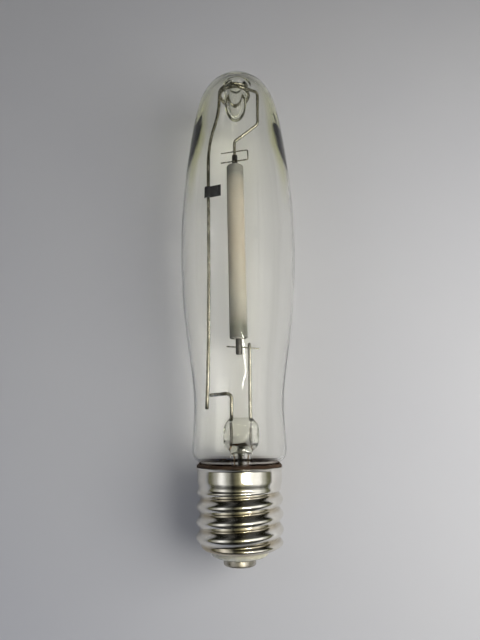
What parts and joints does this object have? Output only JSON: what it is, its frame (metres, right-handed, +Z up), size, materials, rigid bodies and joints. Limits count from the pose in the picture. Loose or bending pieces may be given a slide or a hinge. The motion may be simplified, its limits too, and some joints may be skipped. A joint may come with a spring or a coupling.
{
  "type": "grow lamp",
  "caption": "Clear elliptical-tubular discharge lamp for growing plants, with a ceramic arc tube on a wire mount and a mogul screw base.",
  "frame": {"origin": "middle of the flat end of the solder button on the centre contact, at the base end of the lamp", "axes": "+Y along the lamp's axis from the contact to the dome, +X from the frame rod across to the straight lead rod, +Z up when the lamp lies level with its wire mount flat"},
  "size_m": [0.057, 0.2454, 0.057],
  "materials": {
    "clear_glass": "clear, polished",
    "stem_glass": "clear, pressed",
    "nickel_plated_brass": "bright nickel plate",
    "tinned_contact": "dull tin plate",
    "solder": "as flowed",
    "ivory_glass_insulator": "opaque, glazed",
    "basing_cement": "baked, rough",
    "nickel_wire": "drawn, satin",
    "tungsten": "drawn, dark",
    "copper_wire": "drawn",
    "getter_metal": "matt, near black",
    "polycrystalline_alumina": "translucent, satin",
    "alumina_plug": "sintered",
    "sealing_frit": "fused glass",
    "niobium": "dark, satin",
    "sodium_amalgam": "solid bead"
  },
  "bodies": {
    "lamp": {"outer_bulb": "clear_glass", "stem_press": "stem_glass", "exhaust_tube": "stem_glass", "screw_shell": "nickel_plated_brass", "centre_contact": "tinned_contact", "solder_button": "solder", "side_solder": "solder", "base_insulator": "ivory_glass_insulator", "basing_cement": "basing_cement", "lead_rod_left": "nickel_wire", "lead_rod_right": "nickel_wire", "frame_rod": "nickel_wire", "hanger_arm": "nickel_wire", "flexible_strap": "nickel_wire", "lower_cross_wire": "nickel_wire", "seal_wire_left": "tungsten", "seal_wire_right": "tungsten", "side_lead_wire": "copper_wire", "centre_lead_wire": "copper_wire", "getter_flag": "getter_metal"},
    "arc_tube_unit": {"arc_tube": "polycrystalline_alumina", "end_plug_lower": "alumina_plug", "end_plug_upper": "alumina_plug", "frit_seal_lower": "sealing_frit", "frit_seal_upper": "sealing_frit", "niobium_tube_lower": "niobium", "niobium_tube_upper": "niobium", "amalgam_bead": "sodium_amalgam", "electrode_lower": "tungsten", "electrode_upper": "tungsten", "winding_lower": "tungsten", "winding_upper": "tungsten"}
  },
  "joints": [
    {"name": "arc_tube_slip", "type": "slide", "parent": "lamp", "child": "arc_tube_unit", "axis": [-0.0151, 0.9999, 0], "range_m": [0, 0.0007], "stiffness_N_per_m": 2000}
  ]
}
